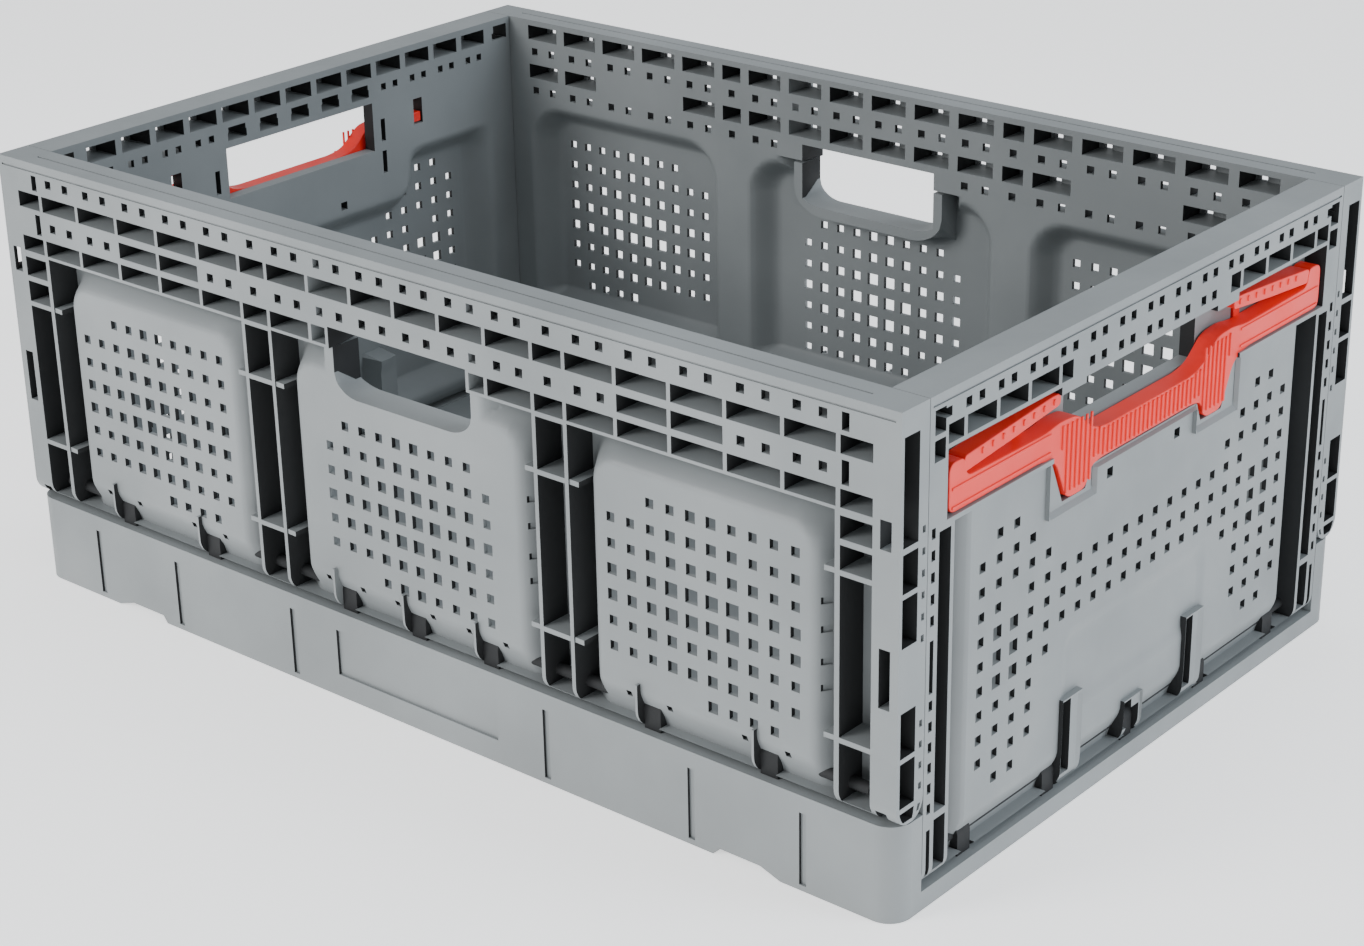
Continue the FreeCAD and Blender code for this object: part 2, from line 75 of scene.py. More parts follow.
def plastic(name, dark, light, rough_low, rough_high, grain=900.0):
    """Moulded plastic: faint cloudy colour, handling scuffs in the gloss, and a fine spark-eroded grain."""
    material = bpy.data.materials.new(name)
    material.use_nodes = True
    tree = material.node_tree
    shader = tree.nodes["Principled BSDF"]
    cloud = noise_node(tree, 9.0, 5.0)
    colour = ramp_node(tree, cloud.outputs["Fac"], (*dark, 1), (*light, 1))
    tree.links.new(colour.outputs["Color"], shader.inputs["Base Color"])
    scuff = noise_node(tree, 38.0, 8.0)
    rough = ramp_node(tree, scuff.outputs["Fac"], (rough_low,) * 3 + (1,), (rough_high,) * 3 + (1,))
    tree.links.new(rough.outputs["Color"], shader.inputs["Roughness"])
    fine = noise_node(tree, grain, 3.0)
    coarse = noise_node(tree, 60.0, 3.0)
    mix = tree.nodes.new("ShaderNodeMath")
    mix.operation = "MULTIPLY_ADD"
    mix.inputs[1].default_value = 0.35
    tree.links.new(fine.outputs["Fac"], mix.inputs[0])
    tree.links.new(coarse.outputs["Fac"], mix.inputs[2])
    bump = tree.nodes.new("ShaderNodeBump")
    bump.inputs["Strength"].default_value = 0.12
    bump.inputs["Distance"].default_value = 0.0006
    tree.links.new(mix.outputs["Value"], bump.inputs["Height"])
    tree.links.new(bump.outputs["Normal"], shader.inputs["Normal"])
    shader.inputs["Specular IOR Level"].default_value = 0.45
    return material


GREY = plastic("grey_plastic", (0.222, 0.238, 0.242), (0.276, 0.294, 0.299), 0.42, 0.60)
# The same grey plastic painted near-black: painted shade for the sides of cells, channels and notches, and
# for parts hidden in shade.
PAINTED_SHADE = plastic("grey_plastic_painted_shade", (0.012, 0.013, 0.014), (0.020, 0.021, 0.022), 0.70, 0.85)
RED = plastic("red_plastic", (0.86, 0.020, 0.012), (0.96, 0.036, 0.022), 0.34, 0.48)


def finish_piece(piece, body, material, replaced=()):
    # Grey pieces get a second slot, the grey plastic painted near-black as shade in recesses.
    for layer in (material, PAINTED_SHADE) if material is GREY else (material,):
        piece.data.materials.append(layer)
    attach(piece, body)
    if replaced:
        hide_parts(*replaced)
    return piece


def soften(piece, width, segments=1, angle=40.0):
    bevel = piece.modifiers.new("edge", "BEVEL")
    bevel.width = width * MM
    bevel.segments = segments
    bevel.limit_method = "ANGLE"
    bevel.angle_limit = math.radians(angle)
    bevel.harden_normals = False


def linked(name, mesh):
    piece = bpy.data.objects.new(name, mesh)
    bpy.context.scene.collection.objects.link(piece)
    return piece


def smoothed(mesh, angle):
    """Smooth shading with sharp edges where the faces meet at more than the angle."""
    mesh.polygons.foreach_set("use_smooth", [True] * len(mesh.polygons))
    mesh.set_sharp_from_angle(angle=math.radians(angle))
    mesh.update()


def new_piece(name, vertices, faces, shaded, smooth_angle=32.0):
    mesh = bpy.data.meshes.new(name)
    mesh.from_pydata(vertices, [], faces)
    # Faces flagged shaded take the second slot, the grey plastic painted near-black as shade.
    mesh.polygons.foreach_set("material_index", shaded)
    smoothed(mesh, smooth_angle)
    return linked(name, mesh)


# ---- lattice: a wall as a block of cells, some solid and some open -----------------------------
class Lattice:
    """Grid lines across (u), up (v) and into the wall (w). Boxes are filled or opened in turn. Side faces of
    cells and the faces in dark boxes are flagged for painted shade.
    """

    def __init__(self):
        self.lines = [set(), set(), set()]
        self.steps = []
        # light: spans across the wall whose side faces keep the plain grey; dark: boxes whose faces all get
        # painted shade.
        self.light = []
        self.dark = []

    def add(self, u, v, w, solid):
        for axis, (low, high) in enumerate((u, v, w)):
            self.lines[axis].update((round(low, 3), round(high, 3)))
        self.steps.append((u, v, w, solid))

    def fill(self, u, v, w):
        self.add(u, v, w, True)

    def open(self, u, v, w):
        self.add(u, v, w, False)

    def guide(self, axis, values):
        self.lines[axis].update(round(float(value), 3) for value in values)

    def painted_shade_sides(self, u):
        """True for the side faces of cells and channels, which get the painted shade: all but the ends and
        the spans named light, which keep the plain grey.
        """
        dark = np.abs(u) < self.steps[0][0][1] - 0.3
        for low, high in self.light:
            dark &= (np.abs(u) < low) | (np.abs(u) > high)
        return dark

    def in_painted_shade_box(self, middles):
        """True for faces whose middle lies in a box of the dark list; these get the painted shade whichever
        way they face.
        """
        found = np.zeros(len(middles), bool)
        for box in self.dark:
            hits = [(middles[:, i] > low) & (middles[:, i] < high) for i, (low, high) in enumerate(box)]
            found |= hits[0] & hits[1] & hits[2]
        return found

    def build(self, name, shape, place):
        axes = [np.array(sorted(lines)) for lines in self.lines]
        mids = [(a[1:] + a[:-1]) / 2 for a in axes]
        solid = np.zeros([len(m) for m in mids], bool)
        for *spans, state in self.steps:
            cells = [np.where((m > low) & (m < high))[0] for m, (low, high) in zip(mids, spans)]
            solid[np.ix_(*cells)] = state
        padded = np.pad(solid, 1)
        counts = [len(a) for a in axes]
        quads, shaded = [], []
        for axis in range(3):
            across, up = [(1, 2), (2, 0), (0, 1)][axis]
            lower = np.take(padded, range(0, padded.shape[axis] - 1), axis)
            upper = np.take(padded, range(1, padded.shape[axis]), axis)
            for outward, flip in ((lower & ~upper, False), (~lower & upper, True)):
                where = np.argwhere(outward)
                base = where.copy()
                base[:, across] -= 1
                base[:, up] -= 1
                corners = []
                for da, du in ((0, 0), (1, 0), (1, 1), (0, 1)):
                    corner = base.copy()
                    corner[:, across] += da
                    corner[:, up] += du
                    corners.append((corner[:, 0] * counts[1] + corner[:, 1]) * counts[2] + corner[:, 2])
                quad = np.stack(corners, 1)
                quads.append(quad if flip else quad[:, ::-1])
                middles = np.stack([axes[i][where[:, i]] if i == axis else mids[i][where[:, i] - 1]
                                    for i in range(3)], 1)
                # Faces in dark boxes, and side faces facing across the wall, are flagged for the painted
                # shade.
                shade = self.in_painted_shade_box(middles)
                shaded.append(shade | self.painted_shade_sides(middles[:, 0]) if axis == 0 else shade)
        quads = np.concatenate(quads)
        shaded = np.concatenate(shaded).astype(int)
        used, compact = np.unique(quads, return_inverse=True)
        compact = compact.reshape(quads.shape)
        u = axes[0][used // (counts[1] * counts[2])]
        v = axes[1][(used // counts[2]) % counts[1]]
        w = axes[2][used % counts[2]]
        points = place(*shape(u, v, w))
        return new_piece(name, (np.stack(points, 1) * MM).tolist(), compact.tolist(), shaded.tolist())


def smooth_step(x):
    x = np.clip(x, 0.0, 1.0)
    return x * x * (3 - 2 * x)


def beyond(u, v, left, right, low, high, corner=26.0):
    """Distance outside a round-cornered rectangle, negative within it."""
    half_u, half_v = (right - left) / 2, (high - low) / 2
    du = np.abs(u - (left + right) / 2) - (half_u - corner)
    dv = np.abs(v - (low + high) / 2) - (half_v - corner)
    return np.hypot(np.maximum(du, 0), np.maximum(dv, 0)) + np.minimum(np.maximum(du, dv), 0) - corner


def pillow(u, v, left, right, low, high, edge, corner=26.0):
    """0 on the border of a round-cornered rectangle, rising smoothly to 1 inside it."""
    return smooth_step(-beyond(u, v, left, right, low, high, corner) / edge)


def panel_relief(u, v, w, panel, slope, top_border=True, grip=None, kept=(), block=None):
    """The skin of a panel drawn outwards: steep borders at the sides and top, a shallow one below.
    Round a block behind the skin the inner face slopes gently, so that the block grows out of it."""
    left, right, low, high = panel
    inside = (u >= left) & (u <= right) & (v >= low) & (v <= high)
    for box in kept:
        inside &= ~((u > box[0] + 0.1) & (u < box[1] - 0.1) & (v > box[2] + 0.1) & (v < box[3] - 0.1))
    lift = pillow(u, v, left, right, low - 60, high + (0 if top_border else 60), slope)
    if grip:
        lift = np.maximum(lift, pillow(u, v, grip[0] - 20, grip[1] + 20, low + 40, high + 60, slope))
    lift = lift * (1 - BOTTOM_SHARE * (1 - smooth_step((v - low) / BOTTOM_SLOPE)))
    hollow = lift * smooth_step((v - low - HINGE_COVER) / HOLLOW_SLOPE)
    if block:
        hollow = hollow * smooth_step(beyond(u, v, *block) / slope) * smooth_step((high - v) / slope)
    outer, inner = PANEL_SKIN[0] - BULGE * lift, PANEL_SKIN[1] - BULGE * hollow
    lip = np.clip((w - PANEL_SKIN[1]) / (LIP_END - PANEL_SKIN[1]), 0, 1)
    through = np.clip((w - PANEL_SKIN[0]) / (PANEL_SKIN[1] - PANEL_SKIN[0]), 0, 1)
    moved = np.where(w < PANEL_SKIN[0], np.maximum(w, 0) * outer / PANEL_SKIN[0],
                     outer * (1 - through) + inner * through)
    moved = np.where(w > PANEL_SKIN[1] + 0.01, inner * (1 - lip) + THICK * lip, moved)
    return np.where(inside, moved, w)


def round_foot(v, w, axis):
    """The wall's foot, narrowed so that it rolls round the hinge axis."""
    drop = np.clip(axis - v, 0.0, FOOT_RADIUS)
    half = np.sqrt(FOOT_RADIUS ** 2 - drop ** 2)
    return THICK / 2 + (w - THICK / 2) * half / FOOT_RADIUS


def places(side):
    """Where a wall's (u, v, w) point goes: v up, w into the wall from its outer face."""
    return {
        "front": lambda u, v, w: (u, w - WIDTH / 2, v),
        "back": lambda u, v, w: (-u, WIDTH / 2 - w, v),
        "right": lambda u, v, w: (LENGTH / 2 - w, u, v),
        "left": lambda u, v, w: (w - LENGTH / 2, -u, v),
    }[side]


def wall_pair(lattice, shape, family, sides):
    """Both walls of a pair: one as built, the other turned half round the upright axis."""
    first = lattice.build("wall_" + sides[0], shape, places(sides[0]))
    turned = first.data.copy()
    turned.name = "wall_" + sides[1]
    turned.transform(Matrix.Rotation(math.pi, 4, "Z"))
    second = linked(turned.name, turned)
    for piece, side in ((first, sides[0]), (second, sides[1])):
        soften(piece, WALL_EDGE)
        finish_piece(piece, family + side, GREY, (family + side,))


def span(centre, size):
    return (centre - size / 2, centre + size / 2)


THROUGH = (-1.0, THICK + 1.0)
FULL = (0.0, THICK)
OUTER_CELL = (-1.0, 17.5)
INNER_CELL = (2.5, THICK + 1.0)
INNER_WEB = (16.0, THICK + 1.0)


# ---- long walls ---------------------------------------------------------------------------------
LONG_FOOT = LONG_AXIS - FOOT_RADIUS + 0.35
RIBS = (0.0, 30.0, 60.0, 90.0, 110.0, 141.0, 173.0, 205.0, 237.0, 267.0)
LONG_PANELS = ((-265.5, -111.0), (-89.0, 89.0), (111.0, 265.5))
PANEL_LOW, PANEL_HIGH = 53.0, 197.0
PANEL_SLOPE = 15.0
LONG_GRIP = (-47.0, 47.0, 172.0, 208.5)
CROSS_RIBS = (84.5, 166.5)
LONG_KNUCKLES = (0.0, 50.0, 155.0, 225.0)
ROW_PAIRS, ROW_TOP, ROW_MID, ROW_LOW = 240.0, 228.0, 215.2, 203.0
TRIPLE, NARROW = (5, 6), 3


def both(pairs):
    for low, high in pairs:
        yield low, high
        yield -high, -low


def square_size(column, row, columns, rows):
    """Vent holes are larger towards the middle of a field."""
    far = abs(column - (columns - 1) / 2) / columns + abs(row - (rows - 1) / 2) / rows
    return 7.4 if far < 0.22 else 5.8 if far < 0.52 else 4.8


def vent_field(lattice, first, pitch_u, columns, low, pitch_v, rows, missing):
    for column in range(columns):
        for row in range(rows):
            if missing(column, row):
                continue
            size = square_size(column, row, columns, rows)
            lattice.open(span(first + pitch_u * column, size), span(low + pitch_v * row, size), THROUGH)


def outward(sign, half, depth):
    """The span from a depth below an end face to just outside it."""
    return (half - depth, half + 1) if sign > 0 else (-half - 1, -half + depth)


LIP_WIDE = 6.0


def lower_corner(u, v, right, low, radius):
    """Heights raised near the lower corners of an opening, so that they run round an arc."""
    beside = (np.abs(u) <= right + 0.01) & (np.abs(u) > right - radius)
    near = beside & (v <= low + radius) & (v >= low - 0.01)
    reach = np.clip(np.abs(u) - (right - radius), 0, radius)
    rise = radius - np.sqrt(np.maximum(radius ** 2 - reach ** 2, 0))
    share = np.clip((low + radius - v) / radius, 0, 1)
    return np.where(near, v + rise * share * 0.72, v)


def long_rail(lattice):
    """Cells open to the outside in two rows, and between them cells open to the inside with paired holes."""
    for number, (low, high) in enumerate(zip(RIBS, RIBS[1:])):
        inside = (low + 1.1, high - 1.1)
        middle = (low + high) / 2
        offsets = (0.0,) if number == NARROW else (-7.0, 7.0)
        for sign in (-1, 1):
            left, right = sorted((sign * inside[0], sign * inside[1]))
            lattice.open((left, right), span(ROW_TOP, 8.8), OUTER_CELL)
            if number >= 2:
                lattice.open((left, right), span(ROW_LOW, 8.8), OUTER_CELL)
            elif number == 1:
                lattice.open(tuple(sorted((sign * 49.0, sign * inside[1]))), span(ROW_LOW, 8.8), OUTER_CELL)
            for row in (ROW_PAIRS, ROW_MID):
                if row == ROW_MID and number in TRIPLE:
                    lattice.open((left, right), span(row, 8.8), OUTER_CELL)
                    continue
                lattice.open((left + 2, right - 2), span(row + 2.1, 9.0), INNER_CELL)
                for offset in offsets:
                    lattice.open(span(sign * (middle + offset), 4.6), span(row, 4.6), THROUGH)
            for row in (ROW_TOP, ROW_LOW):
                for offset in offsets:
                    if row == ROW_TOP or middle > 60:
                        lattice.open(span(sign * (middle + offset), 4.6), span(row + 2.0, 4.6), INNER_WEB)


def cross_borders(lattice, low, high):
    """Thin level ribs across the sloping borders of a panel."""
    for height in CROSS_RIBS:
        for left, right in ((low, low + 6.0), (high - 6.0, high)):
            lattice.fill((left, right), (height, height + 2.6), (0.6, PANEL_SKIN[0]))


def long_walls():
    lattice = Lattice()
    half = LENGTH / 2
    lattice.fill((-half, half), (LONG_FOOT, HEIGHT), FULL)
    lattice.guide(1, [LONG_FOOT + step for step in (0.8, 2.0, 4.0, 7.0)])

    # panels: a skin near the inner face, drawn outwards by the pillow
    for low, high in LONG_PANELS:
        lattice.open((low, high), (PANEL_LOW, PANEL_HIGH), FULL)
        lattice.fill((low, high), (PANEL_LOW, PANEL_HIGH), PANEL_SKIN)
        for edge in (2, 4, 6, 8, 10, 12, 14, 16, 19, 22, 26):
            lattice.guide(0, (low + edge, high - edge))
            lattice.guide(1, (PANEL_LOW + edge, PANEL_HIGH - edge))
        cross_borders(lattice, low, high)

    # deep channels between the panels and beside the corner columns, crossed by thin ribs
    for low, high in both(((91.3, 108.7), (268.3, 285.5))):
        channel_top = 196.0 if high < 200 and low > -200 else 181.0
        for bottom, top in ((54.0, 84.5), (87.1, 166.5), (169.1, channel_top)):
            lattice.open((low, high), (bottom, top), OUTER_CELL)
    for low, high in both(((268.3, 285.5),)):
        for bottom, top in ((184.0, 195.0), (198.6, 207.4), (223.6, 232.4)):
            lattice.open((low, high), (bottom, top), OUTER_CELL)
    for low, high in both(((269.0, 273.0),)):
        lattice.open((low, high), (209.5, 221.0), OUTER_CELL)
        lattice.open((low, high), (234.5, 243.0), OUTER_CELL)

    lattice.open((-half + 3, half - 3), (HEIGHT - 5.2, HEIGHT - 4.2), (-1.0, 0.7))
    lattice.open((-half + 22, half - 22), (HEIGHT - 0.7, HEIGHT + 1), (9.2, 10.4))
    long_rail(lattice)

    # handhole with a smooth lip
    left, right, low, high = LONG_GRIP
    lattice.fill((left - LIP_WIDE, right + LIP_WIDE), (low - LIP_WIDE, PANEL_HIGH), (PANEL_SKIN[0], 21.3))
    # The sides of the lip keep the plain grey instead of the painted shade.
    lattice.light.append((right + 2, right + 12))
    lattice.open((left, right), (low, high), (-1.0, LIP_END + 1))
    lattice.guide(0, [sign * (right - step) for sign in (-1, 1) for step in (-3, 1, 3, 6, 9, 12, 16)])
    lattice.guide(1, [low + step for step in (-3, 1, 3, 6, 9, 12, 16)])

    # vents
    rows, pitch_v = 8, 13.3
    for number, (low, high) in enumerate(LONG_PANELS):
        if number == 1:
            vent_field(lattice, -54.0, 12.0, 10, 76.0, pitch_v, 7,
                       lambda c, r: (r == 0 and c < 3) or (r == 6 and c in (0, 9)))
        else:
            vent_field(lattice, (low + high) / 2 - 54.0, 12.0, 10, 76.0, pitch_v, rows,
                       lambda c, r: (r == 0 and (c < 5 or c == 9)) or (r == rows - 1 and c in (0, 1)))

    # small dots on the sloping borders and beside the channels
    for sign in (-1, 1):
        for height in (56, 69, 95, 108, 122, 136, 150, 163, 190):
            lattice.open(span(sign * 282.5, 3.0), span(height, 3.0), (-1.0, THICK - 3))
        for height in (105, 118, 134, 148):
            for centre in (256.0, 80.0):
                lattice.open(span(sign * centre, 3.2), span(height, 3.4), (-1.0, 19.2))
        lattice.open(span(sign * 292.5, 6.0), (109.0, 138.0), (-1.0, 9.0))
        lattice.open(span(sign * 292.5, 6.0), (185.0, 199.0), (-1.0, 9.0))
        lattice.open(span(sign * 291.0, 6.0), (LONG_FOOT + 0.8, 57.0), (-1.0, 9.0))
        # end face of the corner column: tall cells with thin floors, and a line of small pits
        for bottom, top in ((52.5, 58), (60.5, 83), (85.5, 108), (139.5, 163), (165.5, 184), (187, 238)):
            lattice.open(outward(sign, half, 10.0), (bottom, top), (2.2, 13.2))
            # All faces of these cells get the painted shade.
            lattice.dark.append((outward(sign, half - 0.3, 10.0), (bottom - 0.1, top + 0.1), (2.1, 13.3)))
        for step in range(14):
            pit = 56 + step * 10.4
            if not 104 < pit < 138:
                lattice.open(outward(sign, half, 4.0), span(pit, 3.4), (16.2, 18.4))

    # hinge notches, open to the outside, and the upright gusset beside each
    for station in LONG_KNUCKLES:
        for sign in ((-1, 1) if station else (1,)):
            lattice.fill(span(sign * station - 5.8, 1.4), (PANEL_LOW, 74.0), (0.4, PANEL_SKIN[0]))
            lattice.open(span(sign * station, 10.2), (LONG_FOOT - 1, 68.0), (-1.0, 17.5))
            for dot in (sign * station - 13.0, sign * station + 12.0):
                lattice.open(span(dot, 3.2), span(66.0, 3.2), (-1.0, 19.2))

    def shape(u, v, w):
        lip = w > THICK + 0.01
        for low, high in LONG_PANELS:
            w = panel_relief(u, v, w, (low, high, PANEL_LOW, PANEL_HIGH), PANEL_SLOPE,
                             grip=LONG_GRIP if low < 0 < high else None)
        # round the lower corners of the handhole
        left, right, low, high = LONG_GRIP
        v = np.where(lip, lower_corner(u, v, right + LIP_WIDE, low - LIP_WIDE, 16.0 + LIP_WIDE),
                     np.where(v >= low - 0.01, lower_corner(u, v, right, low, 16.0), v))
        w = round_foot(v, w, LONG_AXIS)
        return u, v, w

    wall_pair(lattice, shape, "long_wall_", ("front", "back"))


# ---- end walls ------------------------------------------------------------------------------------
END_FOOT = END_AXIS - FOOT_RADIUS + 0.35
END_HALF = WIDTH / 2 - THICK - 0.4
END_PANEL = (-160.0, 160.0, 14.0, 187.0)
END_GRIP = (-58.0, 58.0, 189.0, 221.5)
SEAT_DEPTH = 12.0
END_KNUCKLES = (0.0, 70.0, 140.0)
END_PITCH = 24.4
BEADS = ((-56.0, 59.0), (56.0, 59.0), (0.0, 35.0))
END_BLOCK = (-84.5, 84.5, 159.0, 300.0, 10.0)
KEPT = [(44.5, 84.5, 159.0, 200.0), (-84.5, -44.5, 159.0, 200.0), (-60.0, 60.0, 172.0, 200.0)]
KEPT += [(centre - 10.0, centre + 7.0, 0.0, top) for centre, top in BEADS]


def end_vents():
    """(across, height) of every vent: two upright blocks joined by a flat arch."""
    rows = {10: range(1, 10), 9: range(11), 8: range(11), 7: range(1, 10), 6: range(4, 9)}
    for number in range(-10, 11):
        for row in rows.get(abs(number), range(5, 8)):
            if (abs(number), row) != (8, 7):
                yield number * 13.4, 42.0 + row * 12.4, abs(number) in (8, 9) and 4 <= row <= 6


def end_rail(lattice):
    """The rail: paired holes over cells, and a second row of holes over the handhole."""
    for number in range(-7, 8):
        middle = number * END_PITCH
        lattice.open(span(middle, min(20.0, 2 * (END_HALF - 3 - abs(middle)))), span(241.6, 9.0), INNER_CELL)
        if 3 <= abs(number) <= 6:
            for offset in (-4.9, 4.9):
                lattice.open(span(middle + offset, 4.0), span(229.5, 4.2), INNER_WEB)
        for offset in (-4.9, 4.9):
            if abs(middle + offset) < END_HALF - 4:
                lattice.open(span(middle + offset, 4.4), span(239.5, 4.6), THROUGH)
            if abs(number) <= 2:
                lattice.open(span(middle + offset, 4.4), span(228.0, 4.6), THROUGH)
        if abs(number) <= 2:
            lattice.open(span(middle, 13.0), (225.4, 233.4), INNER_CELL)
    for low, high in both(((69.5, 78.5), (81.0, 103.0), (105.5, 127.5), (130.0, 152.0), (154.5, 166.0))):
        lattice.open((low, high), (224.6, 233.6), OUTER_CELL)
    for low, high in both(((168.0, 176.0),)):
        for bottom, top in ((219.0, 229.0), (231.5, 243.0)):
            lattice.open((low, high), (bottom, top), OUTER_CELL)


def end_walls():
    lattice = Lattice()
    lattice.fill((-END_HALF, END_HALF), (END_FOOT, HEIGHT), FULL)
    lattice.guide(1, [END_FOOT + step for step in (0.8, 2.0, 4.0, 7.0)])
    left, right, low, high = END_PANEL
    lattice.open((left, right), (low, high), FULL)
    lattice.fill((left, right), (low, high), PANEL_SKIN)
    for edge in (2, 4, 6, 8, 10, 12, 14, 17, 20, 24):
        lattice.guide(0, (left + edge, right - edge, END_BLOCK[1] + edge - 2, 2 - edge - END_BLOCK[1]))
        lattice.guide(1, (low + edge, high - edge, END_BLOCK[2] - edge + 2))

    # upright channels beside the panel, and the pitted edge of the wall
    for low_u, high_u in both(((162.6, 171.4),)):
        for bottom, top in ((17.0, 43.5), (47.0, 185.5)):
            lattice.open((low_u, high_u), (bottom, top), OUTER_CELL)
    for low_u, high_u in both(((174.2, 177.0),)):
        lattice.open((low_u, high_u), (109.0, 135.0), (-1.0, 8.0))
        for step in range(14):
            pit = 51 + step * 10.4
            if not 104 < pit < 138:
                lattice.open((low_u, high_u), span(pit, 5.0), (-1.0, 5.0))
        lattice.open((low_u, high_u), (16.0, 40.0), (-1.0, 8.0))

    # seat of the latch, and the block behind it
    lattice.fill((-168.0, 168.0), (187.0, 222.5), FULL)
    lattice.open((-166.0, 166.0), (189.4, 218.5), (-1.0, SEAT_DEPTH))
    lattice.open((-166.0, -78.0), (218.0, 222.5), (-1.0, SEAT_DEPTH))
    lattice.open((78.0, 166.0), (218.0, 222.5), (-1.0, SEAT_DEPTH))
    for sign in (-1, 1):
        lattice.fill(span(sign * 64.5, 40.0), (159.0, 190.0), (2.4, THICK))
        lattice.open(span(sign * 64.5, 36.0), (161.5, 190.0), (-1.0, SEAT_DEPTH))
    lattice.fill((-46.5, 46.5), (172.0, 190.0), (2.4, THICK))
    lattice.open((-60.0, 60.0), (174.0, 190.0), (-1.0, SEAT_DEPTH))
    lattice.open(END_GRIP[:2], END_GRIP[2:], THROUGH)
    lattice.fill(END_GRIP[:2], (END_GRIP[2] - 1, END_GRIP[2] + 2.5), (SEAT_DEPTH, THICK))
    # These sides of the seat keep the plain grey instead of the painted shade.
    lattice.light += [(44.0, 45.0), (84.0, 85.0)]
    for sign in (-1, 1):
        lattice.open(span(sign * 96.0, 7.4), (200.0, 216.0), THROUGH)
        lattice.open(span(sign * 66.0, 3.4), (196.0, 210.0), INNER_WEB)
        lattice.open(span(sign * 66.0, 3.4), (176.0, 190.0), INNER_WEB)
        lattice.open(span(sign * 30.0, 5.0), span(164.0, 5.0), THROUGH)

    lattice.open((-END_HALF + 2, END_HALF - 2), (HEIGHT - 5.2, HEIGHT - 4.2), (-1.0, 0.7))
    end_rail(lattice)
    for across, height, large in end_vents():
        size = 6.6 if large else 4.8
        lattice.open(span(across, size), span(height, size), THROUGH)

    # upright beads above the hinges, each beside a slot
    for centre, top in BEADS:
        lattice.fill((centre - 10.0, centre + 7.0), (END_PANEL[2], top), (1.4, THICK))
        lattice.open((centre - 8.5, centre - 1.5), (END_PANEL[2] + 4, top - 2.0), (-1.0, 14.0))
    for station in END_KNUCKLES:
        for sign in ((-1, 1) if station else (1,)):
            lattice.open(span(sign * station, 10.8), (END_FOOT - 1, 28.2), (-1.0, 17.5))

    def shape(u, v, w):
        left, right, low, high = END_PANEL
        label = 1.2 * pillow(u, v, -66.0, 66.0, 48.0, 94.0, 7.0, 12.0)
        on_skin = (np.abs(u) < right) & (v < high) & (w >= PANEL_SKIN[0] - 0.01) & (w <= PANEL_SKIN[1] + 0.01)
        w = panel_relief(u, v, w, END_PANEL, 17.0, top_border=False, kept=KEPT, block=END_BLOCK)
        w = w + np.where(on_skin, label, 0)
        w = round_foot(v, w, END_AXIS)
        return u, v, w

    wall_pair(lattice, shape, "end_wall_", ("left", "right"))


# ---- outlines: flat mouldings cut from a smooth outline ---------------------------------------------
SLAB_SHARP = 35.0


def rounded_outline(corners, radius, steps=5):
    """The corner list with each corner replaced by a small arc-like curve."""
    points = []
    count = len(corners)
    for i in range(count):
        here = Vector(corners[i])
        before = Vector(corners[i - 1])
        after = Vector(corners[(i + 1) % count])
        reach = min(radius, (before - here).length * 0.45, (after - here).length * 0.45)
        start = here + (before - here).normalized() * reach
        end = here + (after - here).normalized() * reach
        for step in range(steps + 1):
            t = step / steps
            points.append(start * (1 - t) ** 2 + here * 2 * t * (1 - t) + end * t ** 2)
    return points


def slab(name, outline, near, far, place):
    """A plate between two depths with the given outline, as a closed mesh."""
    mesh = bmesh.new()
    rings = []
    for depth in (near, far):
        rings.append([mesh.verts.new([c * MM for c in place(p.x, p.y, depth)]) for p in outline])
    front, back = rings
    count = len(outline)
    for i in range(count):
        mesh.faces.new((front[i], front[(i + 1) % count], back[(i + 1) % count], back[i]))
    mesh.faces.new(front[::-1])
    mesh.faces.new(back)
    bmesh.ops.recalc_face_normals(mesh, faces=mesh.faces)
    data = bpy.data.meshes.new(name)
    mesh.to_mesh(data)
    mesh.free()
    smoothed(data, SLAB_SHARP)
    return linked(name, data)


def joined(name, parts):
    """The parts as one object."""
    mesh = bmesh.new()
    for part in parts:
        mesh.from_mesh(part.data)
        bpy.data.objects.remove(part, do_unlink=True)
    data = bpy.data.meshes.new(name)
    mesh.to_mesh(data)
    mesh.free()
    smoothed(data, SLAB_SHARP)
    return linked(name, data)


BAR_NEAR, BAR_FAR = 1.2, 11.0
BAR_OUTLINE = [
    (41, 175.5), (49, 174), (53, 164.5), (69, 164.5), (79, 186), (90, 190), (163, 190), (163, 213.6),
    (151, 213.6), (150, 204), (88, 203), (76, 205), (62, 204), (48, 193), (38, 191),
]
LEAF_OUTLINE = [
    (151.5, 206.0), (151.5, 213.6), (120, 216.4), (84, 219.3), (76.5, 219.3), (76.5, 213.5), (112, 209.6),
]
CHEEK = [
    (83, 160.5), (83, 189), (82, 189), (71, 163.5), (51.5, 163.5), (47.5, 173.5), (46, 173.5), (46, 160.5),
]
CHEEK_NEAR = 2.4
PEG_ACROSS, PEG_HEIGHT, PEG_SIZE = 96.0, 204.0, 6.0
FLUTES_EACH_WAY, FLUTE_PITCH, FLUTE_WIDE = 19, 3.9, 1.4
LEAF_RIBS, LEAF_RIB_FIRST, LEAF_RIB_PITCH, LEAF_FALL = 8, 82.0, 8.0, 0.075
RAIL = (84.0, 161.0)


def plate(name, across, height, near, far, place):
    """A rectangular slab between two spans."""
    (left, right), (low, high) = across, height
    corners = ((left, low), (right, low), (right, high), (left, high))
    return slab(name, [Vector(corner) for corner in corners], near, far, place)


def flute_height(far):
    """The heights that a flute of the grip covers, by its distance from the middle."""
    if far < 42:
        return 176.5, 190.0
    if far < 50:
        return 178.0, 192.0
    return (190.5, 202.5) if far > 74 else (168.0, 202.0)


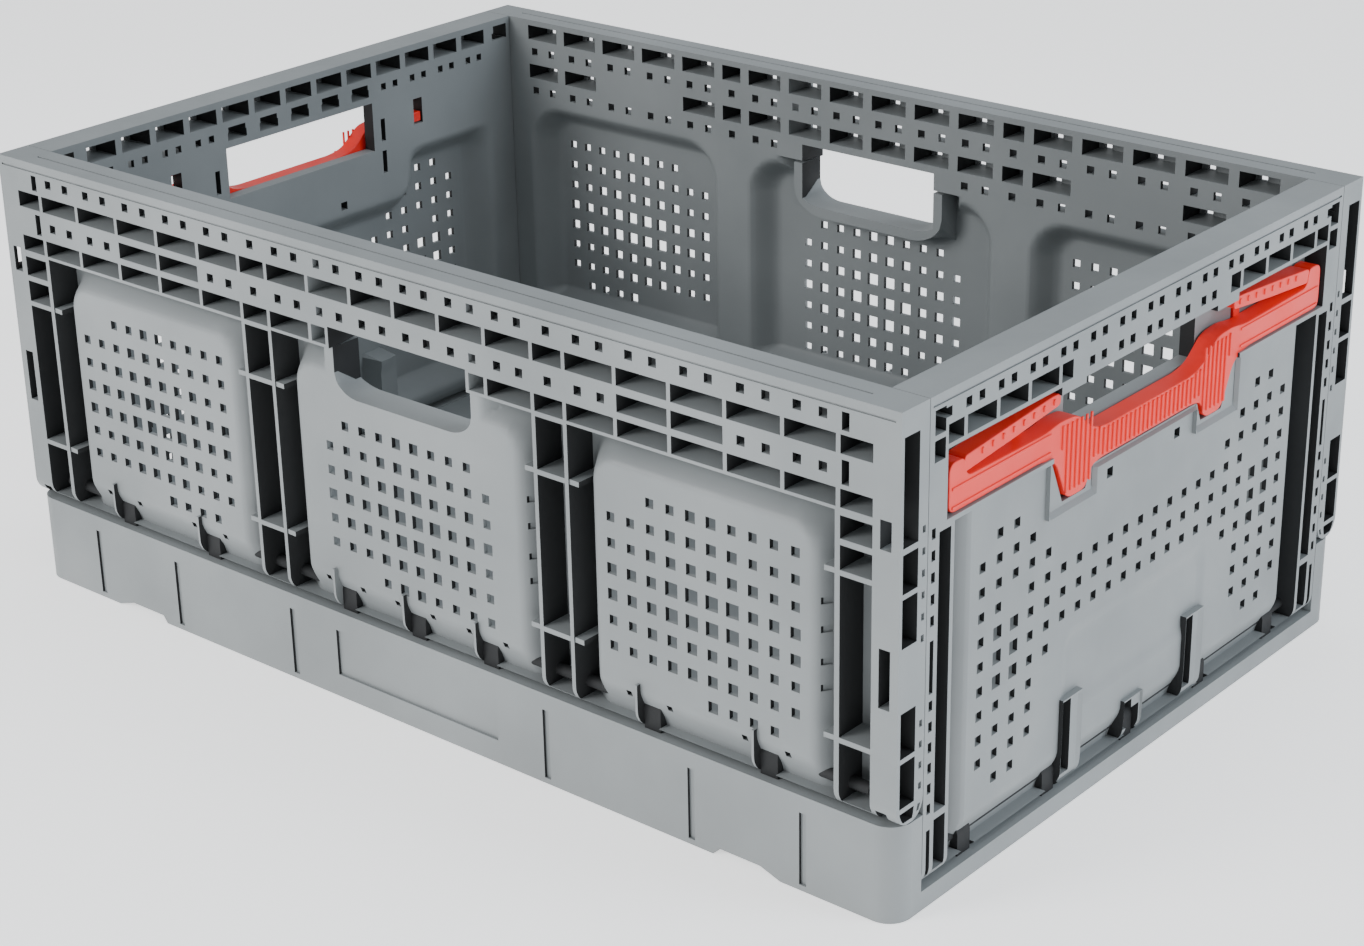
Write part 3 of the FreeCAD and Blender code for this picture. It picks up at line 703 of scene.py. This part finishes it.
def latch(side):
    place = places(side)
    outline = BAR_OUTLINE + [(-u, v) for u, v in reversed(BAR_OUTLINE)]
    parts = [slab("bar", rounded_outline(outline, 5.0), BAR_NEAR, BAR_FAR, place)]
    for number in range(-FLUTES_EACH_WAY, FLUTES_EACH_WAY + 1):
        across = number * FLUTE_PITCH
        parts.append(plate("rib", span(across, FLUTE_WIDE), flute_height(abs(across)),
                           BAR_NEAR - 0.8, BAR_NEAR + 0.3, place))
    for sign in (-1, 1):
        parts.append(plate("peg", span(sign * PEG_ACROSS, PEG_SIZE), span(PEG_HEIGHT, PEG_SIZE),
                           BAR_FAR - 0.3, THICK - 1.0, place))
        for rail_height in ((191.5, 193.0), (200.5, 202.0)):
            parts.append(plate("rail", sorted(sign * end for end in RAIL), rail_height,
                               BAR_NEAR - 0.6, BAR_NEAR + 0.3, place))
    cheeks = [slab("cheek", [Vector((sign * u, v)) for u, v in CHEEK], CHEEK_NEAR, SEAT_DEPTH + 0.5, place)
              for sign in (-1, 1)]
    finish_piece(joined("leg_cheeks_" + side, cheeks), "end_wall_" + side, GREY)
    bar = joined("latch_" + side, parts)
    soften(bar, 0.4, 2)
    finish_piece(bar, "latch_" + side, RED, ("latch_bar_" + side,))

    for arm, sign in (("a", -1), ("b", 1)):
        leaf = rounded_outline([(sign * u, v) for u, v in LEAF_OUTLINE], 2.5, 3)
        parts = [slab("leaf", leaf, BAR_NEAR + 0.2, BAR_FAR - 0.2, place)]
        for number in range(LEAF_RIBS):
            across = LEAF_RIB_FIRST + number * LEAF_RIB_PITCH
            low = 214.8 - (across - LEAF_RIB_FIRST) * LEAF_FALL
            parts.append(plate("rib", span(sign * across, FLUTE_WIDE), (low, low + 3),
                               BAR_NEAR - 0.5, BAR_NEAR + 0.5, place))
        body = "latch_spring_%s_%s" % (side, arm)
        spring = joined(body + "_leaf", parts)
        soften(spring, 0.35, 2)
        finish_piece(spring, body, RED, (body,))


# ---- base: the exact tray with softened edges, painted shade on its knuckles, end seats and a side groove, and on the hinge rods ---
def base():
    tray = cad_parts["base_tray"]
    soften(tray, 0.8, 2, 50)
    tray.data.materials.clear()
    for layer in (GREY, PAINTED_SHADE):
        tray.data.materials.append(layer)
    # Faces of the hinge knuckles, the end seats and a groove along the long sides get painted shade.
    for face in tray.data.polygons:
        x, y, z = (tray.matrix_world @ face.center) / MM
        end_seat = abs(x) > LENGTH / 2 - THICK + 2 and abs(y) < 160
        shaded_knuckle = z > LONG_AXIS - FOOT_RADIUS + 0.1 or (z > END_AXIS - FOOT_RADIUS - 0.2 and end_seat)
        shaded_groove = abs(face.normal.x) > 0.9 and 198 < abs(y) < 199.9 and abs(x) < 260
        face.material_index = int(shaded_knuckle or shaded_groove)
    # The hinge rods are painted near-black as shade.
    for name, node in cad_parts.items():
        if name.startswith("hinge_rod"):
            node.data.materials.clear()
            node.data.materials.append(PAINTED_SHADE)


base()
long_walls()
end_walls()
for wall_side in ("left", "right"):
    latch(wall_side)


# ---- floor, light and camera --------------------------------------------------------------------------
AIM = Vector((0, 0, 0.1))
SENSOR, FOCAL_SHARE = 36.0, 2811.0 / 1364.0


def build_stage():
    size = 6.0
    mesh = bmesh.new()
    corners = [mesh.verts.new((x * size, y * size, 0.0)) for x, y in ((-1, -1), (1, -1), (1, 1), (-1, 1))]
    mesh.faces.new(corners)
    data = bpy.data.meshes.new("floor")
    mesh.to_mesh(data)
    mesh.free()
    floor = linked("floor", data)
    material = bpy.data.materials.new("pale_floor")
    material.use_nodes = True
    shader = material.node_tree.nodes["Principled BSDF"]
    shader.inputs["Base Color"].default_value = (0.93, 0.93, 0.93, 1)
    shader.inputs["Roughness"].default_value = 0.75
    shader.inputs["Emission Color"].default_value = (1.0, 1.0, 1.0, 1)
    shader.inputs["Emission Strength"].default_value = 0.9
    floor.data.materials.append(material)

    world = bpy.data.worlds.new("studio")
    world.use_nodes = True
    world.node_tree.nodes["Background"].inputs["Color"].default_value = (0.94, 0.97, 1.0, 1)
    world.node_tree.nodes["Background"].inputs["Strength"].default_value = 0.62
    bpy.context.scene.world = world

    def area(name, position, power, width, colour=(1.0, 1.0, 1.0)):
        light = bpy.data.lights.new(name, "AREA")
        light.energy = power
        light.color = colour
        light.size = width
        lamp = linked(name, light)
        lamp.location = position
        lamp.rotation_euler = (AIM - Vector(position)).to_track_quat("-Z", "Y").to_euler()

    area("left", (-0.9, -2.1, 1.2), 38.0, 1.0)
    area("right", (2.1, 0.7, 1.1), 28.0, 1.0, (0.82, 0.91, 1.0))
    area("top", (0.1, 0.2, 2.3), 12.0, 1.2, (0.85, 0.93, 1.0))


def build_camera():
    data = bpy.data.cameras.new("camera")
    data.sensor_width = SENSOR
    data.lens = SENSOR * FOCAL_SHARE
    camera = linked("camera", data)
    camera.location = (0.925, -1.072, 0.692)
    azimuth, elevation, roll = math.radians(40.5), math.radians(23.6), math.radians(-1.1)
    level = math.cos(elevation)
    back = Vector((math.sin(azimuth) * level, -math.cos(azimuth) * level, math.sin(elevation)))
    camera.rotation_euler = back.to_track_quat("Z", "Y").to_euler()
    camera.rotation_euler.rotate_axis("Z", roll)
    bpy.context.scene.camera = camera


build_stage()
build_camera()
